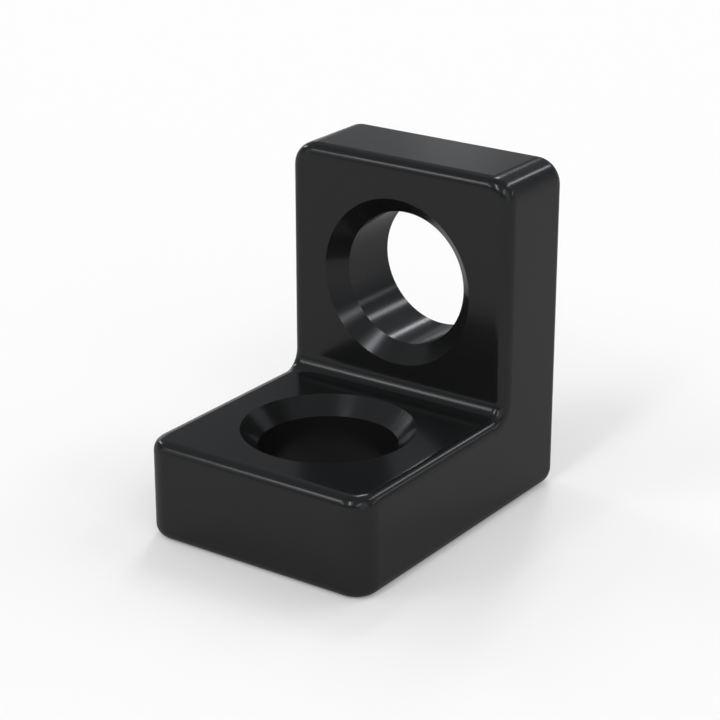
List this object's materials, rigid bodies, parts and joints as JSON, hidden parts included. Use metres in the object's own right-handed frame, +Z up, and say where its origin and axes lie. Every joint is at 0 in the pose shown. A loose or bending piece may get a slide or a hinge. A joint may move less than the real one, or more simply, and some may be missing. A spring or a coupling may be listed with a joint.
{
  "type": "l-block",
  "caption": "Solid right-angle block with softened edges; either leg has a round through bore with 45-degree lead-ins, for joining members at a square corner.",
  "frame": {"origin": "middle of the block's footprint, on its underside", "axes": "+Z up along the upright leg and the base bore, -Y towards the base leg's free end, X across the width"},
  "size_m": [0.03, 0.04, 0.04],
  "materials": {
    "black_plastic": "gloss moulded black"
  },
  "bodies": {
    "root": {"l_block": "black_plastic"}
  },
  "joints": []
}
